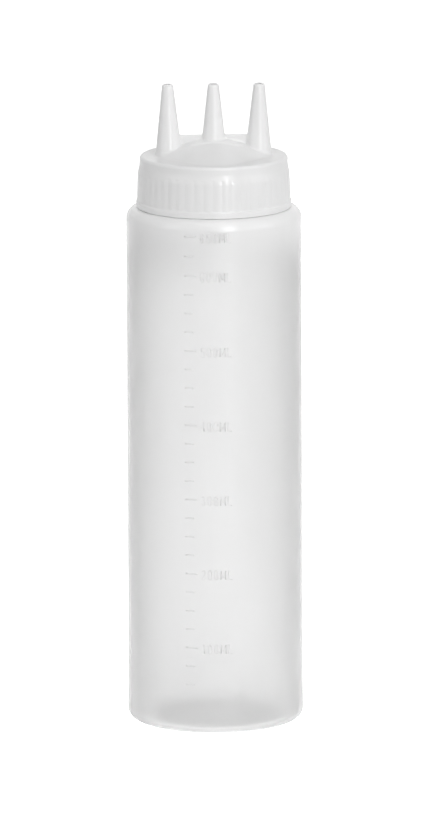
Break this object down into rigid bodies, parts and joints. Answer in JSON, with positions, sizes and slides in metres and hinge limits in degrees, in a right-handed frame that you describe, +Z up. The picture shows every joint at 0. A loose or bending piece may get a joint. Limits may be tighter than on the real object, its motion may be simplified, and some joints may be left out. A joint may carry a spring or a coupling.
{
  "type": "squeeze sauce bottle",
  "caption": "Straight translucent squeeze bottle with a raised volume scale and a ribbed screw cap carrying a row of tapered nozzles.",
  "frame": {"origin": "centre of the bottle's foot, on the plane it stands on", "axes": "+Z up the bottle's axis towards the nozzles, the row of nozzles along X, the raised scale facing -Y"},
  "size_m": [0.0684, 0.0684, 0.2511],
  "materials": {
    "bottle_plastic": "translucent natural polyethylene, satin",
    "cap_plastic": "translucent natural polypropylene, semi-gloss",
    "washer_rubber": "soft pale silicone"
  },
  "bodies": {
    "bottle": {"bottle": "bottle_plastic"},
    "washer": {"sealing_washer": "washer_rubber"},
    "cap": {"cap": "cap_plastic"}
  },
  "joints": [
    {"name": "cap_rise", "type": "slide", "parent": "bottle", "child": "washer", "axis": [0, 0, 1], "range_m": [0, 0.02]},
    {"name": "cap_turn", "type": "hinge", "parent": "washer", "child": "cap", "pos_m": [0, 0, 0.2032], "axis": [0, 0, 1], "range_deg": [0, 1440]}
  ],
  "couplings": [
    {"joint": "cap_rise", "follows": "cap_turn", "m_per_rad": 0.00079577}
  ]
}
